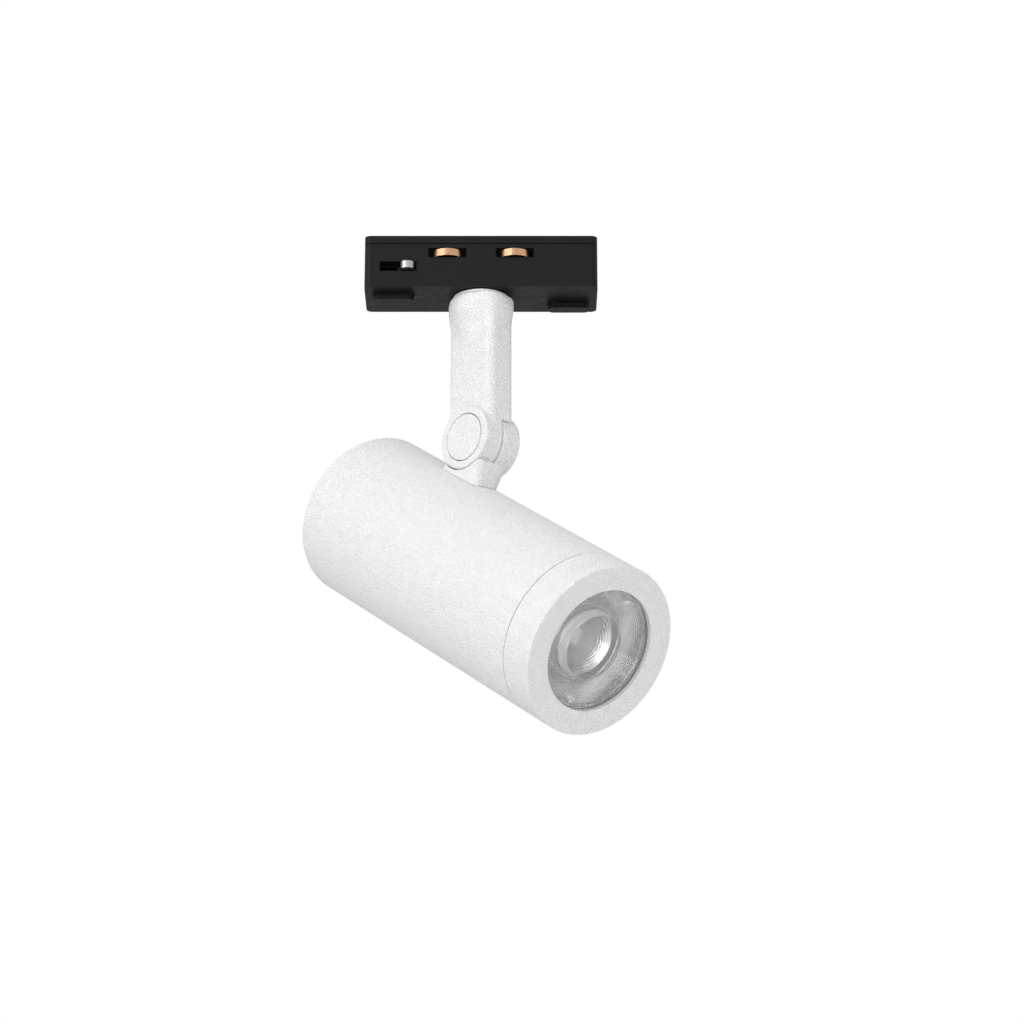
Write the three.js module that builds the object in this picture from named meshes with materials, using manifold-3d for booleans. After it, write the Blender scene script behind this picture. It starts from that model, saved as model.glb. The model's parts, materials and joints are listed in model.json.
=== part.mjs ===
// Low-voltage track spotlight: a cylindrical LED head on a tilting knuckle, a swivelling stem and a track
// adapter.
// Millimetres, +Z up. The origin is the centre of the adapter's top face, and the track runs along X.
import * as THREE from "three";
import { mergeVertices } from "three/addons/utils/BufferGeometryUtils.js";
import Module from "manifold-3d";

const wasm = await Module();
wasm.setup();

// ---- Driving dimensions ------------------------------------------------------------------------------
const GAP = 0.3; // between two pieces that touch
const SIDES = 36; // facets round a visible turned piece
const TUBE_SIDES = 48; // facets round the head's housing
const SMALL_SIDES = 12; // facets round a screw or a wire guide

const PAN_ANGLE = -45; // degrees, the head's aim from +X at rest
const TILT_ANGLE = 34; // degrees, the aim below the horizon at rest
const PIN_DROP = 68.5; // the tilt axis below the adapter's top

const ADAPTER = {
  length: 76, width: 21, height: 18, corner: 2,
  cover: 2.6, wall: 2.2, endWall: 4.2, floor: 3,
};
const MAGNET = { length: 12, width: 10, thickness: 1.5, x: 17 };
const CONTACT = { x: 11, halfLength: 5.4, sag: 3.9, outer: 11.5, strip: 0.5, height: 2.4, z: -6 };
const LOCK = { x: 24, y: 3.5, shaft: 2.1, arm: 8.9, armWidth: 4.6, lever: 11.5, leverWidth: 4.2 };

const STEM = {
  width: 19.8, thickness: 11.6, corner: 2.8, top: 49.1,
  collarRadius: 10.4, collarFrom: 44.5, flareFrom: 33,
};
const COUNTERBORE = { radius: 7.4, depth: 6.6 };
const NIPPLE = { radius: 4, bore: 2.6, flange: 7 };

const EAR = { radius: 10.6, face: 7.75, inner: 0.15, seat: 10.95 };
const CAP = { radius: 7.7, recess: 7.95, floor: 3, thickness: 0.8 };
const PIVOT = { shank: 3.4, hole: 3.7, bore: 1.7, head: 5.6 };

const HEAD = { radius: 27.5, wall: 2.2, front: 89, rear: -36, drop: 38.8, bezel: 12.4, opening: 19.6 };
const FOOT = { rear: -4.6, front: 14.4, left: -7.9, right: 7.2, plateTop: -10.2, toeTop: -3.6 };
const LEAD = { radius: 0.75, clearance: 0.4 };

const TUBE_INNER = HEAD.radius - HEAD.wall;
const AXIS_Z = -HEAD.drop; // the head's own axis in the head's frame, whose origin is on the tilt axis
const TUBE_FRONT = HEAD.front - HEAD.bezel;

// ---- Materials ---------------------------------------------------------------------------------------
const material = (color, roughness, metalness = 0) => {
  return new THREE.MeshStandardMaterial({ color, roughness, metalness });
};
const whiteCoat = material(0xe9e9e7, 0.62);
const blackPlastic = material(0x1a1a1b, 0.55);
const steel = material(0xb9bbbd, 0.35, 1);
const nickel = material(0xc6c4bd, 0.25, 1);
const copper = material(0xc78a55, 0.3, 1);
const aluminium = material(0xc9cbcd, 0.45, 1);
const whitePlastic = material(0xe4e4e0, 0.5);
const mirrorCoat = material(0xe8e8ea, 0.12, 1);
const boardGreen = material(0x1f5a3a, 0.55);
const phosphor = material(0xe6dfc4, 0.6);
const ceramic = material(0xdfe0dc, 0.5);
const rubber = material(0x3a3b3c, 0.8);
const darkPart = material(0x2a2b2e, 0.5);
const wireSheath = material(0x8c8d90, 0.6);
const clearLens = material(0xf4f7f8, 0.03);
clearLens.transparent = true;
clearLens.opacity = 0.35;

// ---- Solids ------------------------------------------------------------------------------------------
// A closed geometry as a manifold-3d solid, with its faces turned outwards.
function solid(geometry) {
  const flat = geometry.index ? geometry.toNonIndexed() : geometry.clone();
  const bare = new THREE.BufferGeometry().setAttribute("position", flat.getAttribute("position"));
  const merged = mergeVertices(bare, 1e-4);
  const corners = [];
  for (let i = 0; i < merged.index.count; i += 3) {
    const [a, b, c] = [0, 1, 2].map((k) => merged.index.getX(i + k));
    if (a !== b && b !== c && c !== a) corners.push(a, b, c);
  }
  const build = (order) => {
    const vertProperties = merged.attributes.position.array;
    return new wasm.Manifold(new wasm.Mesh({ numProp: 3, vertProperties, triVerts: new Uint32Array(order) }));
  };
  const made = build(corners);
  return made.volume() > 0 ? made : build(corners.slice().reverse());
}

function geometryOf(body) {
  const mesh = body.getMesh();
  const made = new THREE.BufferGeometry();
  made.setAttribute("position", new THREE.BufferAttribute(new Float32Array(mesh.vertProperties), 3));
  made.setIndex(new THREE.BufferAttribute(new Uint32Array(mesh.triVerts), 1));
  made.computeVertexNormals();
  return made;
}

const union = (first, ...rest) => rest.reduce((sum, next) => sum.add(next), first);
const cut = (first, ...rest) => rest.reduce((left, next) => left.subtract(next), first);

// Turns a Y-up geometry so that its Y axis lies along the named axis.
const TURN = { x: (g) => g.rotateZ(-Math.PI / 2), y: (g) => g, z: (g) => g.rotateX(Math.PI / 2) };

// A solid of revolution. Each profile point is [radius, place along the axis], and the profile closes on
// itself.
function turned(axis, profile, at = [0, 0, 0], sides = SIDES) {
  const closed = [...profile, profile[0]].map(([r, t]) => new THREE.Vector2(r, t));
  return solid(TURN[axis](new THREE.LatheGeometry(closed, sides)).translate(...at));
}

const rod = (axis, radius, from, to, at, sides) =>
  turned(axis, [[0, from], [radius, from], [radius, to], [0, to]], at, sides);

const ring = (axis, inner, outer, from, to, at, sides) =>
  turned(axis, [[inner, from], [outer, from], [outer, to], [inner, to]], at, sides);

const hexNut = (axis, acrossCorners, hole, from, to, at) =>
  cut(rod(axis, acrossCorners, from, to, at, 6), rod(axis, hole, from - 1, to + 1, at, SMALL_SIDES));

const box = (from, to) => {
  const size = to.map((v, i) => v - from[i]);
  const centre = to.map((v, i) => (v + from[i]) / 2);
  return solid(new THREE.BoxGeometry(...size).translate(...centre));
};

function roundedRectangle(width, height, corner, x = 0, y = 0) {
  const [w, h] = [width / 2, height / 2];
  const shape = new THREE.Shape();
  const quarter = Math.PI / 2;
  shape.absarc(x + w - corner, y - h + corner, corner, -quarter, 0);
  shape.absarc(x + w - corner, y + h - corner, corner, 0, quarter);
  shape.absarc(x - w + corner, y + h - corner, corner, quarter, 2 * quarter);
  shape.absarc(x - w + corner, y - h + corner, corner, 2 * quarter, 3 * quarter);
  shape.closePath();
  return shape;
}

// A shape drawn in XY and raised along Z.
const raised = (shape, from, to, curveSegments = 6) => {
  const made = new THREE.ExtrudeGeometry(shape, { depth: to - from, bevelEnabled: false, curveSegments });
  return solid(made.translate(0, 0, from));
};

// A shape drawn in the head's side view, X forwards and Y standing for up, given a thickness along Y.
const sideways = (shape, from, to, curveSegments = 6) => {
  const depth = to - from;
  const made = new THREE.ExtrudeGeometry(shape, { depth, bevelEnabled: false, curveSegments });
  return solid(made.rotateX(Math.PI / 2).translate(0, to, 0));
};

const polygon = (points) => new THREE.Shape(points.map(([x, y]) => new THREE.Vector2(x, y)));

// A round wire of the given radius along a smooth curve through the points.
function wire(points, radius, steps) {
  const path = new THREE.CatmullRomCurve3(points.map((p) => new THREE.Vector3(...p)), false, "centripetal");
  const section = new THREE.Shape().absarc(0, 0, radius, 0, 2 * Math.PI);
  return solid(new THREE.ExtrudeGeometry(section, { steps, extrudePath: path, curveSegments: 4 }));
}

// A socket screw along Z: its head is at the top when up is 1 and at the bottom when up is -1.
function screw({ at, shank, length, head, headHeight, up = 1 }) {
  const profile = [
    [0, -length], [shank, -length], [shank, 0], [head, 0], [head, headHeight], [0, headHeight],
  ];
  const socket = rod("z", head * 0.45, headHeight * 0.45, headHeight + 1, [0, 0, 0], 6);
  const made = geometryOf(cut(turned("z", profile, [0, 0, 0], SMALL_SIDES), socket));
  return solid((up > 0 ? made : made.rotateX(Math.PI)).translate(...at));
}

function piece(name, body, finish) {
  const mesh = new THREE.Mesh(geometryOf(body), finish);
  mesh.name = name;
  return mesh;
}

// ---- Track adapter, in the part's frame --------------------------------------------------------------
const BODY_TOP = -ADAPTER.cover - GAP;
const FLOOR_TOP = -ADAPTER.height + ADAPTER.floor;
const CAVITY_X = ADAPTER.length / 2 - ADAPTER.endWall;
const CAVITY_Y = ADAPTER.width / 2 - ADAPTER.wall;
const COVER_SCREW_X = ADAPTER.length / 2 - ADAPTER.endWall / 2;
const ENDS = [["front", 1], ["rear", -1]];
const ARM_Z = [-12, -9.6];

function adapterBody() {
  const outline = roundedRectangle(ADAPTER.length, ADAPTER.width, ADAPTER.corner);
  const shell = cut(
    raised(outline, -ADAPTER.height, BODY_TOP),
    box([-CAVITY_X, -CAVITY_Y, FLOOR_TOP], [CAVITY_X, CAVITY_Y, 1]),
    rod("z", NIPPLE.radius + GAP, -ADAPTER.height - 1, FLOOR_TOP + 1, [0, 0, 0], SMALL_SIDES),
  );
  const openings = [];
  for (const [, side] of ENDS) {
    const shaft = [side * LOCK.x, side * LOCK.y, 0];
    openings.push(rod("z", LOCK.shaft + GAP, -ADAPTER.height - 1, FLOOR_TOP + 1, shaft, SMALL_SIDES));
    const window = [side * (LOCK.x - 3), side * (LOCK.x + 9)].sort((a, b) => a - b);
    const wall = [side * (CAVITY_Y - 0.5), side * ADAPTER.width].sort((a, b) => a - b);
    openings.push(box([window[0], wall[0], ARM_Z[0] - 0.5], [window[1], wall[1], ARM_Z[1] + 0.5]));
    openings.push(rod("z", 1.2, -14, 1, [side * COVER_SCREW_X, 0, 0], SMALL_SIDES));
    for (const row of [1, -1]) {
      const near = [row * (CONTACT.x - 6.2), row * (CONTACT.x + 6.2)].sort((a, b) => a - b);
      openings.push(box([near[0], wall[0], CONTACT.z - 1.7], [near[1], wall[1], CONTACT.z + 1.7]));
    }
  }
  const posts = ENDS.map(([, side]) => {
    return rod("z", 1.6, FLOOR_TOP - 0.5, -10.1, [side * 15.5, -side * 4, 0], SMALL_SIDES);
  });
  return union(cut(shell, ...openings), ...posts);
}

function adapterCover() {
  const plate = raised(roundedRectangle(ADAPTER.length, ADAPTER.width, ADAPTER.corner), -ADAPTER.cover, 0);
  const pockets = ENDS.map(([, side]) => {
    const [l, w] = [MAGNET.length / 2 + GAP, MAGNET.width / 2 + GAP];
    return box([side * MAGNET.x - l, -w, -MAGNET.thickness - 0.4], [side * MAGNET.x + l, w, 1]);
  });
  const holes = ENDS.map(([, side]) => union(
    rod("z", 1.2, -5, 1, [side * COVER_SCREW_X, 0, 0], SMALL_SIDES),
    rod("z", 1.9, -1.5, 1, [side * COVER_SCREW_X, 0, 0], SMALL_SIDES),
  ));
  return cut(plate, ...pockets, ...holes);
}

function magnet(side) {
  const [l, w] = [MAGNET.length / 2, MAGNET.width / 2];
  return box([side * MAGNET.x - l, -w, -MAGNET.thickness - 0.1], [side * MAGNET.x + l, w, -0.1]);
}

// A sprung copper leaf that bows out through a window of the adapter, at one end (side) of one wall (row).
function contactSpring(side, row) {
  const { halfLength, sag, outer, strip, height, z } = CONTACT;
  const radius = (halfLength ** 2 + sag ** 2) / (2 * sag);
  const half = Math.asin(halfLength / radius);
  const up = Math.PI / 2;
  const shape = new THREE.Shape();
  shape.absarc(0, outer - radius, radius, up - half, up + half, false);
  shape.absarc(0, outer - radius, radius - strip, up + half, up - half, true);
  shape.closePath();
  const leaf = new THREE.ExtrudeGeometry(shape, { depth: height, bevelEnabled: false, curveSegments: 8 });
  leaf.translate(0, 0, z - height / 2);
  if (row < 0) leaf.rotateZ(Math.PI);
  return solid(leaf.translate(side * CONTACT.x, 0, 0));
}

// The lock's shaft carries an arm that catches in the track's wall, and a finger lever under the adapter.
function lockArm(side) {
  const { arm: reach, armWidth, shaft } = LOCK;
  const arm = roundedRectangle(armWidth, reach + armWidth / 2, 2, 0, reach / 2 - armWidth / 4);
  const hub = rod("z", shaft + 1.9, ...ARM_Z, [0, 0, 0], SMALL_SIDES);
  const hole = rod("z", shaft + 0.2, -20, 1, [0, 0, 0], SMALL_SIDES);
  const body = cut(union(raised(arm, ...ARM_Z), hub), hole);
  return placedLock(body, side);
}

function lockLever(side) {
  const top = -ADAPTER.height - 0.4;
  const length = LOCK.lever + LOCK.leverWidth / 2;
  const grip = roundedRectangle(length, LOCK.leverWidth, 2, LOCK.lever / 2 - 1.05, 0);
  const shaft = rod("z", LOCK.shaft, top - 1, ARM_Z[1] + 0.8, [0, 0, 0], SMALL_SIDES);
  return placedLock(union(raised(grip, top - 2, top), shaft), side);
}

function placedLock(body, side) {
  const made = geometryOf(body);
  if (side < 0) made.rotateZ(Math.PI);
  return solid(made.translate(side * LOCK.x, side * LOCK.y, 0));
}

function swivelNipple() {
  const flangeTop = PIN_DROP - 24.2; // measured up from the tilt axis, like the rest of the stem
  const top = PIN_DROP - 11.4;
  const { radius, bore, flange } = NIPPLE;
  const profile = [
    [bore, flangeTop - 1.5], [flange, flangeTop - 1.5], [flange, flangeTop], [radius, flangeTop],
    [radius, top], [bore, top],
  ];
  return turned("z", profile, [0, 0, -PIN_DROP], 24);
}

function adapterGroup() {
  const group = new THREE.Group();
  group.add(piece("adapter_body", adapterBody(), blackPlastic));
  group.add(piece("adapter_cover", adapterCover(), blackPlastic));
  group.add(piece("swivel_nipple", swivelNipple(), steel));
  const nut = hexNut("z", 6.6, NIPPLE.radius + 0.2, FLOOR_TOP + GAP, FLOOR_TOP + 2.8, [0, 0, 0]);
  group.add(piece("swivel_nut", nut, steel));
  group.add(piece("contact_board", box([-19, -6.4, -9.8], [19, 6.4, -8.6]), boardGreen));
  for (const [end, side] of ENDS) {
    group.add(piece(`magnet_${end}`, magnet(side), nickel));
    const at = [side * COVER_SCREW_X, 0, -1.3];
    const coverScrew = screw({ at, shank: 0.9, length: 9, head: 1.6, headHeight: 1.1 });
    group.add(piece(`cover_screw_${end}`, coverScrew, steel));
    group.add(piece(`lock_arm_${end}`, lockArm(side), steel));
    group.add(piece(`lock_lever_${end}`, lockLever(side), blackPlastic));
    for (const [wall, row] of [["left", 1], ["right", -1]]) {
      group.add(piece(`contact_${end}_${wall}`, contactSpring(side, row), copper));
    }
  }
  return group;
}

// ---- Stem, in a frame on the tilt axis: X is the head's heading and Y the tilt axis ------------------
const STEM_LEAD = [
  [0, 0, 58.4], [0, 0, 50], [0, 0, 40], [0, 0, 30], [0, -0.2, 23], [0, -1.4, 17], [0, -3.3, 12], [0, -4.9, 8],
  [0, -5.6, 4.6], [0, -5.6, 1.7], [0, -5.15, 0.45], [0, -4.2, 0], [0, -2, 0], [0, -0.2, 0],
];

// One pivot ear about the Y axis: side is -1 on the stem and 1 on the head's bracket.
function ear(side) {
  const chamfer = 0.5;
  const { radius, face, inner } = EAR;
  const profile = [
    [0, inner], [radius, inner], [radius, face - chamfer], [radius - chamfer, face], [0, face],
  ];
  return turned("y", profile.map(([r, t]) => [r, side * t]));
}

// What both ears have cut from them: the cap's recess, the pivot's hole and the friction washer's seat.
function earCuts(side) {
  const span = (from, to) => [side * from, side * to].sort((a, b) => a - b);
  return [
    rod("y", CAP.recess, ...span(CAP.floor, EAR.face + 1), [0, 0, 0], SIDES),
    rod("y", PIVOT.hole, ...span(-1, EAR.face), [0, 0, 0], SMALL_SIDES),
    rod("y", 6.3, ...span(-1, EAR.inner + 0.5), [0, 0, 0], 24),
  ];
}

function stem() {
  const { width, thickness, corner, top, collarRadius, collarFrom, flareFrom } = STEM;
  const bar = raised(roundedRectangle(width, thickness, corner), 0, top - 1, 5);
  const rightHalfEnd = union(
    rod("y", EAR.seat, -EAR.inner, EAR.face + 1),
    box([-EAR.seat, -EAR.inner, -EAR.seat], [EAR.seat, EAR.face, 0.5]),
  );
  const collar = turned("z", [
    [0, flareFrom], [thickness / 2, flareFrom], [7.6, 39.5], [9.7, 43], [collarRadius, collarFrom + 1],
    [collarRadius, top - 0.8], [collarRadius - 0.8, top], [0, top],
  ]);
  const hollow = raised(roundedRectangle(11, 6.8, 1.6), 17, top - COUNTERBORE.depth + 0.5, 3);
  return cut(
    union(cut(bar, rightHalfEnd), ear(-1), collar),
    ...earCuts(-1),
    hollow,
    rod("z", COUNTERBORE.radius, top - COUNTERBORE.depth, top + 1, [0, 0, 0], 24),
    wire(STEM_LEAD.slice(4), LEAD.radius + LEAD.clearance, 14),
  );
}

// A cover disc over one end of the pivot, with a short skirt that snaps into the recess.
function pivotCap(side) {
  const outer = EAR.face;
  const inner = EAR.face - CAP.thickness;
  const profile = [
    [0, inner], [6.9, inner], [6.9, inner - 0.6], [7.5, inner - 0.6], [7.5, inner],
    [CAP.radius, inner + 0.15],
    [CAP.radius, outer - 0.25], [CAP.radius - 0.25, outer], [0, outer],
  ];
  return turned("y", profile.map(([r, t]) => [r, side * t]));
}

function pivotBolt() {
  const { bore, head, shank } = PIVOT;
  const headFace = -CAP.floor - GAP;
  const profile = [
    [bore, headFace - 1], [head, headFace - 1], [head, headFace], [shank, headFace], [shank, 4.8],
    [bore, 4.8],
  ];
  return turned("y", profile, [0, 0, 0], 24);
}

function stemGroup() {
  const group = new THREE.Group();
  const top = STEM.top;
  group.add(piece("stem", stem(), whiteCoat));
  group.add(piece("pan_washer", ring("z", 4.4, 9.4, top + GAP, top + 1.1, [0, 0, 0], 24), whitePlastic));
  group.add(piece("pan_friction_ring", ring("z", 4.4, 7, top - 4.5, top - 3.7, [0, 0, 0], 24), darkPart));
  group.add(piece("swivel_retainer", ring("z", 4.4, 7.1, top - 3.4, top - 0.4, [0, 0, 0], 24), aluminium));
  group.add(piece("pivot_cap_stem", pivotCap(-1), whiteCoat));
  group.add(piece("pivot_bolt", pivotBolt(), steel));
  group.add(piece("pivot_nut", hexNut("y", 5.7, 3.6, 3.95, 4.75, [0, 0, 0]), steel));
  group.add(piece("stem_lead", wire(STEM_LEAD, LEAD.radius, 28), wireSheath));
  return group;
}

// ---- Head, in a frame on the tilt axis: X is the aim, Y the tilt axis and Z away from the head -------
const HEAD_LEAD = [
  [0, 0.2, 0], [0, 2, 0], [0, 4.5, 0], [0, 5.5, -0.4], [0, 5.95, -1.7], [0, 5.95, -4.4], [0, 5.1, -8],
  [0, 3.6, -11.4], [0, 2, -15], [0.6, 0.6, -20], [2.6, 0, -26], [4.4, 0, -31], [5, 0, -36.2],
];
const LED_LEAD_RADIUS = 16;
const LED_LEAD_ANGLE = THREE.MathUtils.degToRad(101.25); // between two fins
const LED_LEAD_YZ = [
  LED_LEAD_RADIUS * Math.cos(LED_LEAD_ANGLE),
  AXIS_Z + LED_LEAD_RADIUS * Math.sin(LED_LEAD_ANGLE),
];
const LED_SCREW_Y = 18.9;
const onAxis = [0, 0, AXIS_Z];
const FOOT_SCREWS = [[10.6, -1.2, -8.2], [4.6, 4.4, -9.6]];
const REAR_SCREW_ANGLES = [90, 210, 330];
const REAR_SCREW_RADIUS = 21.6;
const aroundAxis = (degrees, radius) => {
  const angle = THREE.MathUtils.degToRad(degrees);
  return [radius * Math.cos(angle), AXIS_Z + radius * Math.sin(angle)];
};

// The bracket: a rear ear, and a foot that sits on the tube, with a seat in which the stem's ear turns.
function tiltBracket() {
  const { rear, front, left, right, plateTop, toeTop } = FOOT;
  const corner = 2.9;
  const plan = new THREE.Shape();
  plan.moveTo(rear, left);
  plan.lineTo(front - corner, left);
  plan.absarc(front - corner, left + corner, corner, -Math.PI / 2, 0);
  plan.lineTo(front, -0.5);
  plan.bezierCurveTo(front, 3.6, right + 3.4, right, right, right);
  plan.lineTo(rear, right);
  plan.closePath();
  const outline = polygon([
    [rear, -16], [front + 0.2, -16], [front + 0.2, -11.4], [front - 1.6, -7.4], [front - 3.2, toeTop],
    [8.6, toeTop], [2, -4], [rear, plateTop],
  ]);
  const foot = raised(plan, -16, 0).intersect(sideways(outline, left - 1, right + 1));
  const neck = box([rear + 0.4, EAR.inner, -12], [right, right, -2]);
  const seat = rod("y", EAR.seat, left - 1, EAR.inner);
  const rearRelief = box([rear - 1, left - 1, plateTop], [0, EAR.inner, 0]);
  const tubeFace = rod("x", HEAD.radius + GAP, -60, 60, onAxis, TUBE_SIDES * 2);
  const screwHoles = FOOT_SCREWS.map(([x, y, top]) => rod("z", 1.5, -18, top + 0.4, [x, y, 0], SMALL_SIDES));
  return cut(
    union(cut(foot, seat, rearRelief), neck, ear(1)),
    ...earCuts(1),
    tubeFace,
    ...screwHoles,
    wire(HEAD_LEAD.slice(2), LEAD.radius + LEAD.clearance, 16),
  );
}

function housingTube() {
  const shell = ring("x", TUBE_INNER, HEAD.radius, HEAD.rear, TUBE_FRONT, onAxis, TUBE_SIDES);
  const lugs = REAR_SCREW_ANGLES.map((degrees) => {
    return rod("x", 2.6, -32.2, -24, [0, ...aroundAxis(degrees, 22.9)], SMALL_SIDES);
  });
  const lugHoles = REAR_SCREW_ANGLES.map((degrees) => {
    return rod("x", 1.3, -33, -25, [0, ...aroundAxis(degrees, REAR_SCREW_RADIUS)], SMALL_SIDES);
  });
  const footHoles = FOOT_SCREWS.map(([x, y]) => rod("z", 1.6, -20, 0, [x, y, 0], SMALL_SIDES));
  return cut(
    union(shell, ...lugs),
    ...lugHoles,
    ...footHoles,
    wire(HEAD_LEAD.slice(2), LEAD.radius + LEAD.clearance, 16),
  );
}

function frontBezel() {
  const from = TUBE_FRONT + GAP;
  const face = HEAD.front;
  return turned("x", [
    [23.6, 72], [25, 72], [25, from], [HEAD.radius, from], [HEAD.radius, face - 0.4],
    [HEAD.radius - 0.4, face],
    [HEAD.opening + 0.3, face], [HEAD.opening, face - 0.3], [HEAD.opening, face - 1.7], [23.6, face - 1.7],
  ], onAxis, TUBE_SIDES);
}

// The moulded optic: a domed puck in a bowl on the front, a flange, and behind them the collecting cone with
// the LED's well.
function opticLens() {
  return turned("x", [
    [0, 88.2], [3.5, 87.96], [7, 87.24], [10.1, 86.16], [10.6, 85.6], [11.2, 82.8], [11.6, 82.2],
    [12.1, 82.2], [13.8, 82.9], [15.6, 84], [17.4, 85.3], [18.7, 86.3], [20.8, 86.4],
    [20.8, 85], [19.9, 85], [17.4, 80.2], [14.8, 75.2], [12.4, 70.4], [10.2, 70.4],
    [9.9, 73.5], [9.3, 76.2], [6, 77.6], [3, 78.2], [0, 78.4],
  ], onAxis);
}

// A mirror-coated cup that follows the optic's cone, with a foot on the LED's clamp and a rim round the flange.
function lensHolder() {
  return turned("x", [
    [13, 70], [15.3, 74.9], [17.9, 79.9], [20.4, 84.6], [21.1, 84.6], [21.1, 86.2], [22.6, 86.2],
    [22.6, 83.6], [21.6, 83.6], [19.4, 79.9], [16.8, 74.9], [15.6, 71.2], [16.6, 71.2], [16.6, 70],
  ], onAxis);
}

// A base disc that takes the LED's heat to the housing, and radial fins behind it.
function heatsink() {
  const fins = 16;
  const core = 8.5;
  const tip = 24.4;
  const half = 0.8;
  const outline = [];
  for (let i = 0; i < fins; i++) {
    const angle = (i / fins) * 2 * Math.PI;
    const [c, s] = [Math.cos(angle), Math.sin(angle)];
    for (const [r, t] of [[core, -half], [tip, -half], [tip, half], [core, half]]) {
      outline.push([r * c - t * s, r * s + t * c]);
    }
  }
  const finBlock = new THREE.ExtrudeGeometry(polygon(outline), { depth: 38.5, bevelEnabled: false });
  finBlock.rotateY(Math.PI / 2).translate(22, 0, AXIS_Z);
  return cut(
    union(solid(finBlock), rod("x", 24.9, 60, 66.2, onAxis, TUBE_SIDES)),
    rod("x", 1.3, 55, 70, [0, ...LED_LEAD_YZ], SMALL_SIDES),
  );
}

// An insulating half pipe that holds the driver board by its edges.
function driverTray() {
  const outer = 24.6;
  const inner = 23.2;
  const shape = new THREE.Shape();
  const start = THREE.MathUtils.degToRad(-160);
  const end = THREE.MathUtils.degToRad(-20);
  shape.absarc(0, 0, outer, start, end, false);
  shape.absarc(0, 0, inner, end, start, true);
  shape.closePath();
  const pipe = new THREE.ExtrudeGeometry(shape, { depth: 38, bevelEnabled: false, curveSegments: 14 });
  pipe.rotateX(Math.PI / 2).rotateZ(Math.PI / 2).translate(-22, 0, AXIS_Z);
  const rails = [-1, 1].map((side) => {
    const y = [side * 18, side * 20.5].sort((a, b) => a - b);
    return box([-22, y[0], AXIS_Z - 13], [16, y[1], AXIS_Z - 6.9]);
  });
  return union(solid(pipe), ...rails);
}

function rearCap() {
  const disc = turned("x", [
    [0, -32.6], [24.9, -32.6], [24.9, -35.1], [24.3, -35.7], [0, -35.7],
  ], onAxis, TUBE_SIDES);
  const holes = REAR_SCREW_ANGLES.map((degrees) => {
    const at = [0, ...aroundAxis(degrees, REAR_SCREW_RADIUS)];
    return union(rod("x", 1.5, -37, -31, at, SMALL_SIDES), rod("x", 2.5, -37, -34.2, at, SMALL_SIDES));
  });
  return cut(disc, ...holes);
}

function rearScrew(degrees) {
  const upright = geometryOf(screw({ at: [0, 0, 0], shank: 1, length: 8, head: 2.1, headHeight: 1.1 }));
  const at = aroundAxis(degrees, REAR_SCREW_RADIUS);
  return solid(upright.rotateY(-Math.PI / 2).translate(-34.5, ...at));
}

function cobHolder() {
  const plate = ring("x", 7.4, 21.2, 68.7, 69.5, onAxis);
  const screwHoles = [1, -1].map((side) => {
    return rod("x", 1.2, 68, 70, [0, side * LED_SCREW_Y, AXIS_Z], SMALL_SIDES);
  });
  return cut(plate, ...screwHoles, rod("x", 1.2, 68, 70, [0, ...LED_LEAD_YZ], SMALL_SIDES));
}

function opticsGroup() {
  const group = new THREE.Group();
  group.add(piece("front_bezel", frontBezel(), whiteCoat));
  const gasket = ring("x", 19.7, 20.7, HEAD.front - 2.45, HEAD.front - 1.95, onAxis);
  group.add(piece("lens_gasket", gasket, rubber));
  group.add(piece("optic_lens", opticLens(), clearLens));
  group.add(piece("lens_holder", lensHolder(), mirrorCoat));
  return group;
}

function ledGroup() {
  const group = new THREE.Group();
  const square = (half, from, to) => box([from, -half, AXIS_Z - half], [to, half, AXIS_Z + half]);
  group.add(piece("heatsink", heatsink(), aluminium));
  group.add(piece("thermal_pad", square(9.8, 66.4, 66.9), rubber));
  group.add(piece("led_board", square(9.5, 67.1, 68.1), ceramic));
  group.add(piece("led_emitter", rod("x", 6.6, 68.3, 68.9, onAxis, 24), phosphor));
  group.add(piece("led_clamp", cobHolder(), whitePlastic));
  const path = [[16, ...LED_LEAD_YZ], [24, ...LED_LEAD_YZ], [45, ...LED_LEAD_YZ], [68.6, ...LED_LEAD_YZ]];
  const start = [[9, -3, AXIS_Z + 2.5], [12, -3.2, AXIS_Z + 9]];
  group.add(piece("led_lead", wire([...start, ...path], LEAD.radius, 22), wireSheath));
  for (const [name, side] of [["a", 1], ["b", -1]]) {
    const at = [69.8, side * LED_SCREW_Y, AXIS_Z];
    const upright = geometryOf(screw({ at: [0, 0, 0], shank: 0.9, length: 3.4, head: 1.7, headHeight: 1 }));
    group.add(piece(`led_screw_${name}`, solid(upright.rotateY(Math.PI / 2).translate(...at)), steel));
  }
  return group;
}

function driverGroup() {
  const group = new THREE.Group();
  const boardTop = AXIS_Z - 5.2;
  group.add(piece("driver_tray", driverTray(), whitePlastic));
  group.add(piece("driver_board", box([-22, -19.5, boardTop - 1.2], [16, 19.5, boardTop]), boardGreen));
  group.add(piece("driver_inductor", box([-14, -7, boardTop + GAP], [-1, 6, boardTop + 7.3]), darkPart));
  for (const [name, y] of [["a", 11.5], ["b", -12.5]]) {
    const can = rod("z", 4, boardTop + GAP, boardTop + 11, [-9, y, 0], 24);
    group.add(piece(`driver_capacitor_${name}`, can, darkPart));
  }
  const terminal = box([1.5, -5, boardTop + GAP], [12.5, 5, boardTop + 6.2]);
  group.add(piece("driver_terminal", terminal, whitePlastic));
  return group;
}

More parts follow.
